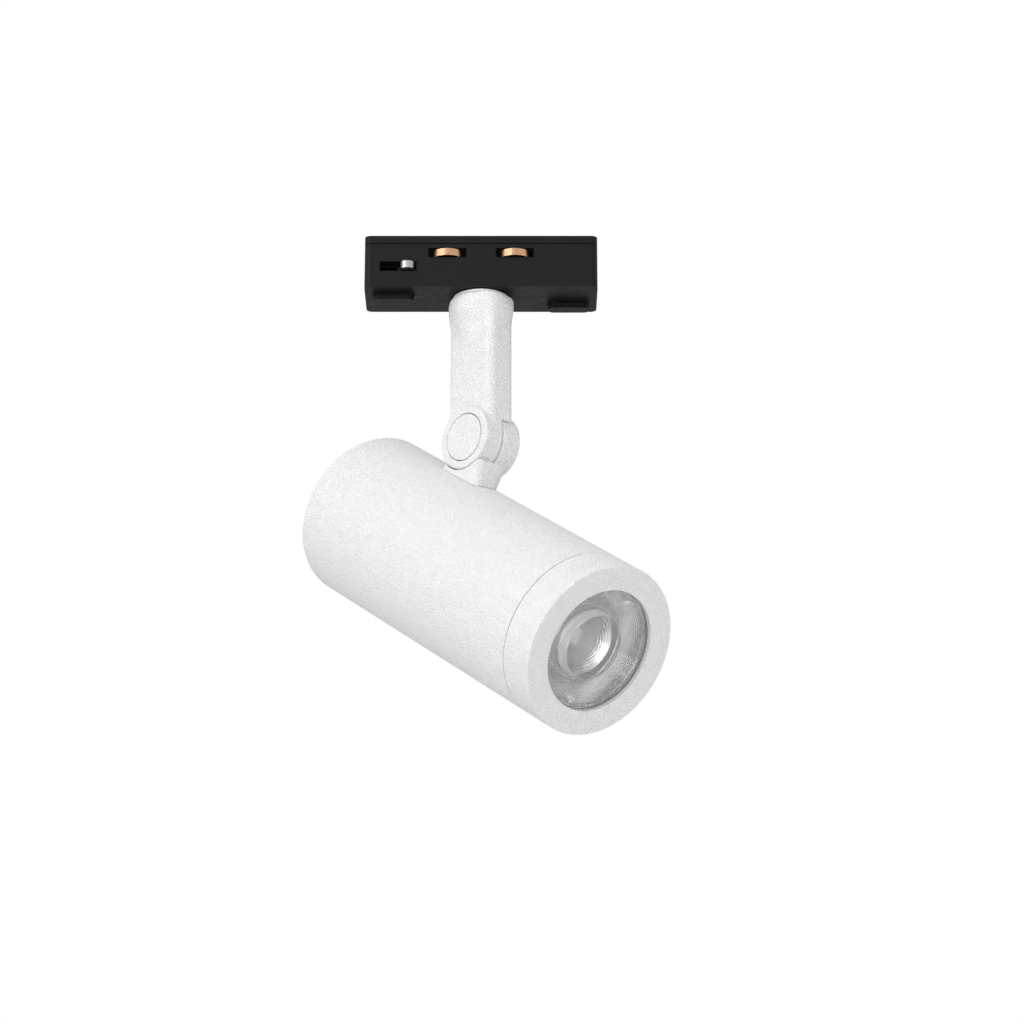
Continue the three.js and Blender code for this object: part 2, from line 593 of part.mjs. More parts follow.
function headGroup() {
  const group = new THREE.Group();
  group.add(piece("tilt_bracket", tiltBracket(), whiteCoat));
  group.add(piece("pivot_cap_head", pivotCap(1), whiteCoat));
  group.add(piece("pivot_spring_washer", ring("y", 3.7, 6.2, 3.25, 3.7, [0, 0, 0], 24), steel));
  group.add(piece("friction_washer", ring("y", 3.7, 6, -0.35, 0.35, [0, 0, 0], 24), darkPart));
  group.add(piece("housing_tube", housingTube(), whiteCoat));
  FOOT_SCREWS.forEach(([x, y, top], i) => {
    const drop = HEAD.drop - Math.sqrt(TUBE_INNER ** 2 - y ** 2);
    const head = -drop - 0.5;
    const length = top - head;
    const body = screw({ at: [x, y, head], shank: 1.2, length, head: 2.2, headHeight: 1.6, up: -1 });
    group.add(piece(`foot_screw_${i + 1}`, body, steel));
  });
  group.add(piece("rear_cap", rearCap(), whiteCoat));
  REAR_SCREW_ANGLES.forEach((degrees, i) => {
    group.add(piece(`rear_screw_${i + 1}`, rearScrew(degrees), steel));
  });
  group.add(piece("head_lead", wire(HEAD_LEAD, LEAD.radius, 26), wireSheath));
  group.add(opticsGroup(), ledGroup(), driverGroup());
  return group;
}

// ---- Assembly ----------------------------------------------------------------------------------------
const spotlight = new THREE.Group();
const swivelled = stemGroup();
const tilted = headGroup();
swivelled.position.z = -PIN_DROP;
swivelled.rotation.z = THREE.MathUtils.degToRad(PAN_ANGLE);
tilted.rotation.y = THREE.MathUtils.degToRad(TILT_ANGLE);
swivelled.add(tilted);
spotlight.add(adapterGroup(), swivelled);

export default spotlight;
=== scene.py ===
"""Looks of a track spotlight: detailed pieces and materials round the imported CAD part, in metres."""

import json
import math

import bmesh
import bpy
import numpy as np
from mathutils import Matrix, Vector

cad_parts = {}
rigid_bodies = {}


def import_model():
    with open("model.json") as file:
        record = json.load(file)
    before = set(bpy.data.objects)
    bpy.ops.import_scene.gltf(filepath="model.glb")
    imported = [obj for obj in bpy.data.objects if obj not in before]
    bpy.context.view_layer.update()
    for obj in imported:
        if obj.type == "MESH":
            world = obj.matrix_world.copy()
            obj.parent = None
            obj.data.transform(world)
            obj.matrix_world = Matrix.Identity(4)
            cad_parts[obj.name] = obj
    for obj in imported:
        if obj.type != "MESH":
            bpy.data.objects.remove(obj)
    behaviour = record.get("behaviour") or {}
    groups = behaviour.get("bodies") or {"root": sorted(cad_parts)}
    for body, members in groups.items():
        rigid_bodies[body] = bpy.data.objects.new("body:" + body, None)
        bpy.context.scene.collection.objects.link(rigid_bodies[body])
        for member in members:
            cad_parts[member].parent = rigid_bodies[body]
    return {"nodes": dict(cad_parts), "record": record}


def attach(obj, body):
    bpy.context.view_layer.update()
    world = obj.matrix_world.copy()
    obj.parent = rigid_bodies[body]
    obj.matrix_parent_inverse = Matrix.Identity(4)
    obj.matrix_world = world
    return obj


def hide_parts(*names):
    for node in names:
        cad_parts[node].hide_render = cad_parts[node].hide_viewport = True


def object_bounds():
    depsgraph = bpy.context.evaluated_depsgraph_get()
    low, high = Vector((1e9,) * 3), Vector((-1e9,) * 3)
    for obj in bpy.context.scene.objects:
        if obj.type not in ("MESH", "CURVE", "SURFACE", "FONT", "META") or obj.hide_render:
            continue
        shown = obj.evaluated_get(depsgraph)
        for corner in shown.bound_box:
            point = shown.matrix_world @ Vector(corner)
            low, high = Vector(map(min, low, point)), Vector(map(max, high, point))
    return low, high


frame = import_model()
cad_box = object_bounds()
MM = 0.001

# ---- Frames and dimensions, in millimetres -------------------------------------------------------
PAN_ANGLE = math.radians(-45)
TILT_ANGLE = math.radians(34)
PIN = Vector(next(j for j in frame["record"]["behaviour"]["joints"] if j["name"] == "tilt")["pos_m"])

STEM = Matrix.Translation(PIN) @ Matrix.Rotation(PAN_ANGLE, 4, "Z") @ Matrix.Scale(MM, 4)
HEAD = STEM @ Matrix.Rotation(TILT_ANGLE, 4, "Y")

TUBE_RADIUS = 27.5
TUBE_INNER = 25.3
HEAD_DROP = 38.8
HEAD_FRONT = 89.0
HEAD_REAR = -36.0
SEAM = 76.6
OPENING = 19.6
EAR_RADIUS = 10.6
EAR_FACE = 7.75
EAR_INNER = 0.15
SEAT_RADIUS = 10.95
CAP_RADIUS = 7.7
RECESS_RADIUS = 7.95
RECESS_FLOOR = 3.0
PIVOT_HOLE = 3.7
STEM_TOP = 49.1
# the collar's radius at heights above the tilt axis, where the bar flares into it
COLLAR = [(33, 5.8), (36.5, 6.4), (39.5, 7.6), (42, 9.2), (43.8, 10.05), (45.5, 10.4), (49.1, 10.4)]
BORE_RADIUS = 7.4
BORE_FLOOR = 42.5
FOOT_REAR = -4.6
FOOT_FRONT = 14.4
FOOT_SCREWS = [(10.6, -1.2, -8.2), (4.6, 4.4, -9.6)]
LEAD_CHANNEL = 1.15
# the stem's bar and the hollow inside it: half width, half depth and corner radius
BAR = (9.9, 5.8, 2.8)
HOLLOW = (5.5, 3.4, 1.6)
HOLLOW_BOTTOM = 17
EAR_RELIEF = 6.3
FOOT_BOTTOM = -18.0
FOOT_TOP = -3.6
PLATE_TOP = -10.2
SCREW_HOLE = 1.5
# the optic is frosted within this radius of a point inside the LED's well
WELL_MIDDLE = 75.0
FROST_RADIUS = 9.8
REAR_SCREWS = [(math.radians(d), 21.6) for d in (90, 210, 330)]

# ---- Turned pieces -------------------------------------------------------------------------------


def rounded(profile, radii, steps=4):
    """The profile with each corner turned into an arc of its own radius, so that edges catch the light."""
    out = []
    n = len(profile)
    for i, corner in enumerate(profile):
        r = radii[i] if isinstance(radii, (list, tuple)) else radii
        p = Vector(corner)
        before, after = Vector(profile[i - 1]) - p, Vector(profile[(i + 1) % n]) - p
        if r <= 0 or before.length < 1e-9 or after.length < 1e-9 or (abs(p.x) < 1e-9):
            out.append(tuple(p))
            continue
        angle = before.angle(after)
        if angle > math.pi - 0.02:
            out.append(tuple(p))
            continue
        reach = min(r / math.tan(angle / 2), 0.45 * before.length, 0.45 * after.length)
        r = reach * math.tan(angle / 2)
        start, end = p + before.normalized() * reach, p + after.normalized() * reach
        centre = p + (before.normalized() + after.normalized()).normalized() * (r / math.sin(angle / 2))
        a0, a1 = start - centre, end - centre
        sweep = a0.angle_signed(a1)
        for k in range(steps + 1):
            turn = Matrix.Rotation(-sweep * k / steps, 2)
            out.append(tuple(centre + turn @ a0))
    return out


AXES = {
    "x": lambda r, t, c, s: (t, r * c, r * s),
    "y": lambda r, t, c, s: (r * s, t, r * c),
}


def link(name, mesh):
    obj = bpy.data.objects.new(name, mesh)
    bpy.context.scene.collection.objects.link(obj)
    return obj


def finish_mesh(name, bm, where):
    bmesh.ops.remove_doubles(bm, verts=bm.verts, dist=1e-5)
    bmesh.ops.dissolve_degenerate(bm, edges=bm.edges, dist=1e-6)
    bmesh.ops.recalc_face_normals(bm, faces=bm.faces)
    bm.transform(where)
    mesh = bpy.data.meshes.new(name)
    bm.to_mesh(mesh)
    bm.free()
    mesh.shade_smooth()
    obj = link(name, mesh)
    weights = obj.modifiers.new("weighted_normals", "WEIGHTED_NORMAL")
    weights.weight = 80
    return obj


def lathe(name, profile, where, axis="x", at=(0, 0, 0), segments=192, radius_at=None):
    """A turned piece. profile is (radius, place along the axis), and closes on itself."""
    bm = bmesh.new()
    place = AXES[axis]
    rings = []
    for r, t in profile:
        row = []
        for k in range(segments):
            a = 2 * math.pi * k / segments
            rr = radius_at(r, t, a) if radius_at else r
            co = Vector(place(rr, t, math.cos(a), math.sin(a))) + Vector(at)
            if r < 1e-6:
                if not row:
                    row = [bm.verts.new(co)] * segments
                break
            row.append(bm.verts.new(co))
        rings.append(row)
    for i in range(len(rings)):
        a, b = rings[i], rings[(i + 1) % len(rings)]
        for k in range(segments):
            m = (k + 1) % segments
            corners = []
            for v in (a[k], a[m], b[m], b[k]):
                if v not in corners:
                    corners.append(v)
            if len(corners) > 2:
                try:
                    bm.faces.new(corners)
                except ValueError:
                    pass
    return finish_mesh(name, bm, where)


# ---- Cast pieces, from distance fields -----------------------------------------------------------


def smooth_union(a, b, k):
    h = np.clip(0.5 + 0.5 * (b - a) / k, 0, 1)
    return b + (a - b) * h - k * h * (1 - h)


def smooth_cut(a, b, k):
    """a with b taken away, the new edge rounded."""
    return -smooth_union(-a, b, k)


def slab(v, low, high):
    return np.maximum(low - v, v - high)


def round_rect(u, v, half_u, half_v, r):
    du, dv = np.abs(u) - half_u + r, np.abs(v) - half_v + r
    outside = np.sqrt(np.maximum(du, 0) ** 2 + np.maximum(dv, 0) ** 2)
    return outside + np.minimum(np.maximum(du, dv), 0) - r


def soft_max(a, b, k):
    """The overlap of a and b, its edge rounded."""
    return -smooth_union(-a, -b, k)


def segment_distance(x, y, z, p, q):
    p, q = np.array(p, float), np.array(q, float)
    d = q - p
    h = ((x - p[0]) * d[0] + (y - p[1]) * d[1] + (z - p[2]) * d[2]) / max(d @ d, 1e-9)
    h = np.clip(h, 0, 1)
    return np.sqrt((x - p[0] - h * d[0]) ** 2 + (y - p[1] - h * d[1]) ** 2 + (z - p[2] - h * d[2]) ** 2)


def channel(x, y, z, points, radius):
    out = None
    for p, q in zip(points, points[1:]):
        d = segment_distance(x, y, z, p, q) - radius
        out = d if out is None else np.minimum(out, d)
    return out


def surface_from(field, low, high, pitch):
    """The zero surface of a distance field on a grid, as vertices and quads (surface nets)."""
    counts = [int(math.ceil((h - l) / pitch)) + 1 for l, h in zip(low, high)]
    axes = [l + pitch * np.arange(n, dtype=np.float32) for l, n in zip(low, counts)]
    x, y, z = np.meshgrid(*axes, indexing="ij", sparse=True)
    f = field(x, y, z).astype(np.float32)
    inside = f < 0
    cells = tuple(n - 1 for n in counts)
    total = np.zeros(cells + (3,), np.float32)
    hits = np.zeros(cells, np.int16)

    def corner(grid, d):
        return grid[d[0] : d[0] + cells[0], d[1] : d[1] + cells[1], d[2] : d[2] + cells[2]]

    for axis in range(3):
        for i in (0, 1):
            for j in (0, 1):
                a = [0, 0, 0]
                a[(axis + 1) % 3], a[(axis + 2) % 3] = i, j
                b = list(a)
                b[axis] = 1
                fa, fb = corner(f, a), corner(f, b)
                crossing = corner(inside, a) != corner(inside, b)
                t = np.where(crossing, fa / np.where(crossing, fa - fb, 1), 0)
                for k in range(3):
                    total[..., k] += np.where(crossing, t if k == axis else a[k], 0)
                hits += crossing
    used = hits > 0
    index = np.full(cells, -1, np.int64)
    index[used] = np.arange(used.sum())
    where = np.argwhere(used)
    verts = (where + total[used] / hits[used][:, None]) * pitch + np.array(low)
    quads = []
    for axis in range(3):
        u, v = (axis + 1) % 3, (axis + 2) % 3
        first = [slice(None)] * 3
        second = [slice(None)] * 3
        first[axis], second[axis] = slice(0, -1), slice(1, None)
        cross = inside[tuple(first)] != inside[tuple(second)]
        outward = inside[tuple(first)]
        at = np.argwhere(cross)
        at = at[(at[:, u] > 0) & (at[:, v] > 0) & (at[:, u] < cells[u]) & (at[:, v] < cells[v])]
        flip = ~outward[tuple(at.T)]
        ids = []
        for du, dv in ((1, 1), (0, 1), (0, 0), (1, 0)):
            c = at.copy()
            c[:, u] -= du
            c[:, v] -= dv
            ids.append(index[tuple(c.T)])
        q = np.stack(ids, 1)
        q[flip] = q[flip][:, ::-1]
        quads.append(q)
    return verts, np.concatenate(quads)


def cast(name, field, low, high, pitch, where):
    verts, quads = surface_from(field, low, high, pitch)
    mesh = bpy.data.meshes.new(name)
    mesh.vertices.add(len(verts))
    mesh.vertices.foreach_set("co", verts.astype(np.float32).ravel())
    mesh.loops.add(4 * len(quads))
    mesh.loops.foreach_set("vertex_index", quads.astype(np.int32).ravel())
    mesh.polygons.add(len(quads))
    mesh.polygons.foreach_set("loop_start", np.arange(0, 4 * len(quads), 4, dtype=np.int32))
    mesh.update(calc_edges=True)
    mesh.validate()
    mesh.transform(where)
    mesh.shade_smooth()
    return link(name, mesh)


# The same route as the CAD's leads, in the stem's and the head's frames.
STEM_LEAD = [
    (0, -0.2, 23), (0, -1.4, 17), (0, -3.3, 12), (0, -4.9, 8), (0, -5.6, 4.6), (0, -5.6, 1.7),
    (0, -5.15, 0.45),
]
HEAD_LEAD = [(0, 5.95, -1.7), (0, 5.95, -4.4), (0, 5.1, -8), (0, 3.6, -11.4), (0, 2, -15), (0.6, 0.6, -20)]


def ear_field(x, y, z, side):
    """One knuckle ear with a softly rounded outer edge."""
    r = np.sqrt(x**2 + z**2)
    t = y * side
    return soft_max(r - EAR_RADIUS, slab(t, EAR_INNER, EAR_FACE), 0.9)


def ear_holes(x, y, z, side, body):
    r = np.sqrt(x**2 + z**2)
    t = y * side
    body = smooth_cut(body, np.maximum(r - RECESS_RADIUS, RECESS_FLOOR - t), 0.25)
    body = np.maximum(body, -np.maximum(r - PIVOT_HOLE, np.abs(t) - EAR_FACE))
    return np.maximum(body, -np.maximum(r - EAR_RELIEF, np.abs(t) - EAR_INNER - 0.5))


def stem_field(x, y, z):
    """A bar that flares into a round collar, with its right lower half cut back for the bracket's ear."""
    bar = soft_max(round_rect(x, y, *BAR), slab(z, 0.0, STEM_TOP - 1), 0.6)
    from_axis = np.sqrt(x**2 + y**2)
    heights, radii = zip(*COLLAR)
    flare = 0.8 * (from_axis - np.interp(z, heights, radii))
    collar = soft_max(flare, slab(z, heights[0], STEM_TOP), 0.9)
    body = smooth_union(bar, collar, 2.2)
    body = np.maximum(body, z - STEM_TOP)
    from_pin = np.sqrt(x**2 + z**2)
    below = np.maximum(z - 0.5, np.abs(x) - SEAT_RADIUS)
    seat = np.maximum(np.minimum(from_pin - SEAT_RADIUS, below), -EAR_INNER - y)
    body = smooth_cut(body, seat, 0.4)
    body = smooth_union(body, ear_field(x, y, z, -1), 1.0)
    body = np.maximum(body, -seat)
    body = ear_holes(x, y, z, -1, body)
    body = np.maximum(body, -np.maximum(round_rect(x, y, *HOLLOW), slab(z, HOLLOW_BOTTOM, BORE_FLOOR + 1)))
    body = np.maximum(body, -np.maximum(from_axis - BORE_RADIUS, BORE_FLOOR - z))
    return np.maximum(body, -channel(x, y, z, STEM_LEAD, LEAD_CHANNEL))


def bracket_field(x, y, z):
    """A foot that sits on the tube, a seat for the stem's ear, and the bracket's own ear behind it."""
    lean = np.clip((z + 11.4) * 3.2 / 7.8, -0.1, 3.3)
    front = FOOT_FRONT - lean
    plan = round_rect(x - (front + FOOT_REAR) / 2, y + 0.35, (front - FOOT_REAR) / 2, 7.55, 2.9)
    # the foot's left front corner is swept back, by a slanted plane
    swept = (x + 1.13 * y - 16.0) * 0.663
    plan = soft_max(plan, swept, 2.0)
    foot = soft_max(plan, slab(z, FOOT_BOTTOM, FOOT_TOP), 0.8)
    from_pin = np.sqrt(x**2 + z**2)
    left_room = y - EAR_INNER
    foot = smooth_cut(foot, np.maximum(from_pin - SEAT_RADIUS, left_room), 0.4)
    foot = smooth_cut(foot, np.maximum(np.maximum(x - 0.5, PLATE_TOP - z), left_room), 0.4)
    neck = soft_max(round_rect(x - 1.5, y - 3.675, 5.7, 3.525, 1.2), slab(z, FOOT_BOTTOM, -2.0), 0.6)
    right = smooth_union(neck, ear_field(x, y, z, 1), 0.5)
    body = smooth_union(foot, right, 0.5)
    body = np.maximum(body, -np.maximum(from_pin - SEAT_RADIUS, left_room))
    body = ear_holes(x, y, z, 1, body)
    on_tube = TUBE_RADIUS + 0.02 - np.sqrt(y**2 + (z + HEAD_DROP) ** 2)
    body = soft_max(body, on_tube, 0.35)
    for at_x, at_y, top in FOOT_SCREWS:
        hole = np.sqrt((x - at_x) ** 2 + (y - at_y) ** 2) - SCREW_HOLE
        body = np.maximum(body, -np.maximum(hole, z - top - 0.4))
    return np.maximum(body, -channel(x, y, z, HEAD_LEAD, LEAD_CHANNEL))


# ---- Materials -----------------------------------------------------------------------------------


class Nodes:
    """A material's node tree with short ways to add and join nodes."""

    def __init__(self, name):
        self.material = bpy.data.materials.new(name)
        self.material.use_nodes = True
        self.tree = self.material.node_tree
        self.bsdf = self.tree.nodes["Principled BSDF"]
        self.coords = self.tree.nodes.new("ShaderNodeTexCoord").outputs["Object"]

    def add(self, kind, inputs=None, **settings):
        node = self.tree.nodes.new(kind)
        for key, value in settings.items():
            setattr(node, key, value)
        for key, value in (inputs or {}).items():
            if isinstance(value, bpy.types.NodeSocket):
                self.tree.links.new(value, node.inputs[key])
            else:
                node.inputs[key].default_value = value
        return node

    def noise(self, feature_mm, detail=2.0, rough=0.5, distortion=0.0, vector=None):
        inputs = {"Vector": vector or self.coords, "Scale": 1 / (feature_mm * MM), "Detail": detail}
        inputs.update({"Roughness": rough, "Distortion": distortion})
        return self.add("ShaderNodeTexNoise", inputs).outputs["Fac"]

    def ramp(self, value, low, high, out_low=0.0, out_high=1.0):
        inputs = {0: value, 1: low, 2: high, 3: out_low, 4: out_high}
        return self.add("ShaderNodeMapRange", inputs).outputs[0]

    def mix(self, factor, a, b):
        node = self.add("ShaderNodeMix", {0: factor}, data_type="RGBA")
        node.inputs[6].default_value = (*a, 1)
        node.inputs[7].default_value = (*b, 1)
        return node.outputs[2]

    def bump(self, height, depth_mm, below=None):
        inputs = {"Height": height, "Distance": depth_mm * MM, "Strength": 1.0}
        if below is not None:
            inputs["Normal"] = below
        return self.add("ShaderNodeBump", inputs).outputs["Normal"]

    def set(self, **inputs):
        for key, value in inputs.items():
            socket = self.bsdf.inputs[key.replace("_", " ")]
            if isinstance(value, bpy.types.NodeSocket):
                self.tree.links.new(value, socket)
            else:
                socket.default_value = value


def powder_coat(name, light=0.88):
    """Matt white powder coat: a leather-like grain of small raised bumps, with painted shade darkening the
    creases between them.
    """
    m = Nodes(name)
    bumps = m.noise(0.62, 2.0, 0.55, 0.4)
    wrinkle = m.noise(1.5, 2.0, 0.5, 1.0)
    fine = m.noise(0.28, 1.0, 0.6)
    patches = m.ramp(m.noise(4.0, 2.0), 0.35, 0.7, 0.8, 1.0)
    heights = {0: m.ramp(bumps, 0.34, 0.66), 1: patches}
    raised = m.add("ShaderNodeMath", heights, operation="MULTIPLY").outputs[0]
    duller = (light * 0.992, light * 0.992, light * 0.985)
    tone = m.mix(m.noise(9.0, 2.0), duller, (light, light, light * 0.996))
    # painted shade: the creases between the grain's bumps get a darker base colour (0.72 of the coat's), in
    # place of the shadow that falls in them
    painted_crease_shade = m.ramp(bumps, 0.28, 0.46, 0.2, 0.0)
    shade = m.add("ShaderNodeMix", {0: painted_crease_shade, 6: tone}, data_type="RGBA")
    shade.inputs[7].default_value = (light * 0.72, light * 0.72, light * 0.71, 1)
    normal = m.bump(fine, 0.03)
    normal = m.bump(wrinkle, 0.1, normal)
    normal = m.bump(raised, 0.3, normal)
    m.set(Base_Color=shade.outputs[2], Roughness=m.ramp(bumps, 0.3, 0.7, 0.66, 0.52), Normal=normal)
    return m.material


def moulded_plastic(name, colour, roughness=0.5, grain_mm=0.35, depth_mm=0.012, gloss=0.5):
    """Plastic with a spark-eroded mould texture and a slight change of sheen."""
    m = Nodes(name)
    dark = tuple(0.9 * c for c in colour)
    m.set(
        Base_Color=m.mix(m.noise(6.0, 3.0), dark, colour),
        Roughness=m.ramp(m.noise(2.5, 3.0), 0.3, 0.7, roughness - 0.06, roughness + 0.07),
        Specular_IOR_Level=gloss,
        Normal=m.bump(m.noise(grain_mm, 3.0, 0.6), depth_mm),
    )
    return m.material


def metal(name, colour, roughness=0.3, brushed=(1, 1, 1), grain_mm=0.5, depth_mm=0.006):
    """Bare or plated metal. brushed stretches the grain along each axis."""
    m = Nodes(name)
    stretched = m.add("ShaderNodeMapping", {"Vector": m.coords, "Scale": brushed}).outputs["Vector"]
    lines = m.noise(grain_mm, 4.0, 0.65, vector=stretched)
    worn = tuple(0.82 * c for c in colour)
    m.set(
        Base_Color=m.mix(m.noise(3.0, 3.0), worn, colour),
        Metallic=1.0,
        Roughness=m.ramp(lines, 0.3, 0.7, roughness - 0.08, roughness + 0.1),
        Normal=m.bump(lines, depth_mm),
    )
    return m.material


def soft_rubber(name, colour):
    m = Nodes(name)
    dust = m.ramp(m.noise(1.2, 4.0), 0.5, 0.8, 0.0, 0.35)
    m.set(
        Base_Color=m.mix(dust, colour, tuple(c + 0.12 for c in colour)),
        Roughness=0.85,
        Normal=m.bump(m.noise(0.2, 2.0), 0.01),
    )
    return m.material


def lens_material(name):
    """Clear moulded acrylic with faint flow marks, frosted round the LED's well."""
    m = Nodes(name)
    flow = m.ramp(m.noise(1.5, 3.0), 0.4, 0.8, 0.0, 0.03)
    well = HEAD @ Vector((WELL_MIDDLE, 0, -HEAD_DROP))
    away = m.add("ShaderNodeVectorMath", {0: m.coords, 1: well}, operation="DISTANCE").outputs["Value"]
    frost = m.ramp(away, FROST_RADIUS * MM, (FROST_RADIUS + 1) * MM, 0.42, 0.0)
    m.set(
        Base_Color=(0.985, 0.99, 0.995, 1),
        Roughness=m.add("ShaderNodeMath", {0: flow, 1: frost}, operation="ADD").outputs[0],
        Transmission_Weight=1.0,
        IOR=1.49,
        Normal=m.bump(m.noise(4.0, 2.0), 0.004),
    )
    return m.material


def phosphor_material(name):
    m = Nodes(name)
    m.set(
        Base_Color=m.mix(m.noise(0.6, 4.0), (0.82, 0.78, 0.66), (0.90, 0.87, 0.78)),
        Roughness=0.5,
        Normal=m.bump(m.noise(0.3, 3.0), 0.01),
    )
    return m.material


def board_material(name, mask):
    """Solder mask with copper areas showing through it as a change of tone."""
    m = Nodes(name)
    cells = m.add("ShaderNodeTexVoronoi", {"Vector": m.coords, "Scale": 420.0}, distance="MANHATTAN")
    tracks = m.add("ShaderNodeSeparateColor", {0: cells.outputs["Color"]}).outputs[0]
    area = m.ramp(tracks, 0.48, 0.52)
    m.set(
        Base_Color=m.mix(area, mask, tuple(min(1, 1.5 * c + 0.02) for c in mask)),
        Roughness=0.4,
        Normal=m.bump(area, 0.02),
    )
    return m.material


MATERIALS = {
    "white_coat": powder_coat("white_coat"),
    "black_plastic": moulded_plastic("black_plastic", (0.006, 0.006, 0.0065), 0.5, gloss=0.2),
    "steel": metal("steel", (0.60, 0.61, 0.62), 0.32),
    "nickel": metal("nickel", (0.66, 0.64, 0.60), 0.22, grain_mm=0.8, depth_mm=0.003),
    "copper": metal("copper", (0.80, 0.47, 0.28), 0.26, (1, 1, 8)),
    "aluminium": metal("aluminium", (0.74, 0.75, 0.76), 0.38, (1, 6, 6)),
    "white_plastic": moulded_plastic("white_plastic", (0.90, 0.90, 0.88), 0.35),
    "board": board_material("board", (0.03, 0.16, 0.08)),
    "mirror_coat": metal("mirror_coat", (0.96, 0.96, 0.96), 0.09, grain_mm=3.0, depth_mm=0.002),
    "ceramic": moulded_plastic("ceramic", (0.88, 0.89, 0.87), 0.35, 0.2, 0.004),
    "phosphor": phosphor_material("phosphor"),
    "rubber": soft_rubber("rubber", (0.33, 0.33, 0.34)),
    "dark_part": moulded_plastic("dark_part", (0.03, 0.03, 0.035), 0.35),
    "wire_sheath": moulded_plastic("wire_sheath", (0.22, 0.22, 0.24), 0.5, 0.25, 0.01),
    "clear_lens": lens_material("clear_lens"),
}
SLOT_OF = {s["node"]: s["material_slot"] for s in frame["record"]["subparts"]}


def paint(obj, slot_name):
    obj.data.materials.clear()
    obj.data.materials.append(MATERIALS[slot_name])


def piece(obj, body, *nodes):
    """Finishes a detailed piece: it rides on its body, stands for its nodes and takes their finish."""
    paint(obj, SLOT_OF[nodes[0]])
    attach(obj, body)
    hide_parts(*nodes)
    return obj


# ---- Head ----------------------------------------------------------------------------------------
ON_AXIS = (0, 0, -HEAD_DROP)
DOME_TOP = 88.2
DOME_CURVE = 26.0
DOME_EDGE = 10.1
BOWL_INNER = 12.0
BOWL_OUTER = 18.7
BOWL_RINGS = 14
RING_HEIGHT = 0.05
CONE_FACETS = 16
WELL_RINGS = 9
WELL_RIPPLE = 0.012
WELL_STEPS = 72


def housing():
    profile = [
        (TUBE_RADIUS, HEAD_REAR), (TUBE_RADIUS, SEAM), (TUBE_INNER, SEAM), (TUBE_INNER, HEAD_REAR),
    ]
    return lathe("housing", rounded(profile, [0.6, 0.12, 0.1, 0.3]), HEAD, at=ON_AXIS, segments=256)


def front_ring():
    profile = [
        (23.6, 72), (25, 72), (25, SEAM + 0.3), (TUBE_RADIUS, SEAM + 0.3), (TUBE_RADIUS, HEAD_FRONT),
        (OPENING, HEAD_FRONT), (OPENING, HEAD_FRONT - 1.7), (23.6, HEAD_FRONT - 1.7),
    ]
    radii = [0.1, 0.2, 0.1, 0.12, 0.45, 0.3, 0.1, 0.1]
    return lathe("front_ring", rounded(profile, radii), HEAD, at=ON_AXIS, segments=256)


def optic():
    """A clear collimator: a dome in a ringed bowl, and behind it a faceted cone with the LED's well."""
    front = []
    for k in range(21):
        r = DOME_EDGE * k / 20
        front.append((r, DOME_TOP + math.sqrt(DOME_CURVE**2 - r**2) - DOME_CURVE))
    rim = front[-1][1]
    front += [(10.4, rim - 0.12), (10.5, rim - 0.4), (11.0, 83.4), (11.2, 82.5), (11.4, 82.2), (11.7, 82.1)]
    steps = 8 * BOWL_RINGS
    for k in range(steps + 1):
        f = k / steps
        r = BOWL_INNER + (BOWL_OUTER - BOWL_INNER) * f
        t = 82.15 + 4.1 * f**1.2 + 0.5 * RING_HEIGHT * (1 - math.cos(2 * math.pi * BOWL_RINGS * f))
        front.append((r, t))
    front += [(18.9, 86.36), (20.65, 86.4), (20.8, 86.3), (20.8, 85.1), (20.7, 85), (19.9, 85)]
    back = []
    cone = [(19.9, 85), (17.4, 80.2), (14.8, 75.2), (12.4, 70.4)]
    for (ra, ta), (rb, tb) in zip(cone, cone[1:]):
        for k in range(1, 7):
            back.append((ra + (rb - ra) * k / 6, ta + (tb - ta) * k / 6))
    well = [(10.2, 70.4), (10.1, 72), (9.9, 73.5), (9.65, 75), (9.3, 76.2)]
    for k in range(WELL_STEPS + 1):
        r = 8.9 * (1 - k / WELL_STEPS)
        ripple = WELL_RIPPLE * math.cos(2 * math.pi * WELL_RINGS * r / 8.9)
        well.append((r, 78.4 - 0.026 * r**2 + ripple))

    def faceted(r, t, a):
        on_cone = 12.4 < r < 19.9 and t < 84.9 and t < 71.2 + 2 * (r - 12)
        return r * (1 - 0.004 * abs(math.sin(CONE_FACETS / 2 * a))) if on_cone else r

    return lathe("optic", front + back + well, HEAD, at=ON_AXIS, segments=240, radius_at=faceted)


def cap(name, side):
    inner = EAR_FACE - 0.8
    profile = [
        (0, inner), (6.9, inner), (6.9, inner - 0.6), (7.5, inner - 0.6), (7.5, inner),
        (CAP_RADIUS, inner + 0.15), (CAP_RADIUS, EAR_FACE), (0, EAR_FACE),
    ]
    radii = [0, 0.05, 0.05, 0.05, 0.05, 0.05, 0.28, 0]
    turned = [(r, side * t) for r, t in rounded(profile, radii)]
    return lathe(name, turned, HEAD if side > 0 else STEM, axis="y", segments=128)


def rear_plate():
    profile = [(0, -32.6), (24.9, -32.6), (24.9, -35.7), (0, -35.7)]
    plate = lathe("rear_plate", rounded(profile, [0, 0.1, 0.6, 0]), HEAD, at=ON_AXIS, segments=192)
    for k, (angle, radius) in enumerate(REAR_SCREWS):
        at = (0, radius * math.cos(angle), -HEAD_DROP + radius * math.sin(angle))
        step = [(0, -31), (1.5, -31), (1.5, -34.2), (2.5, -34.2), (2.5, -35.6), (2.75, -37), (0, -37)]
        tool = lathe(f"tool{k}", step, HEAD, at=at, segments=48)
        cut = plate.modifiers.new("hole", "BOOLEAN")
        cut.object, cut.operation, cut.solver = tool, "DIFFERENCE", "EXACT"
    bake_modifiers(plate, [o for o in bpy.data.objects if o.name.startswith("tool")])
    return plate


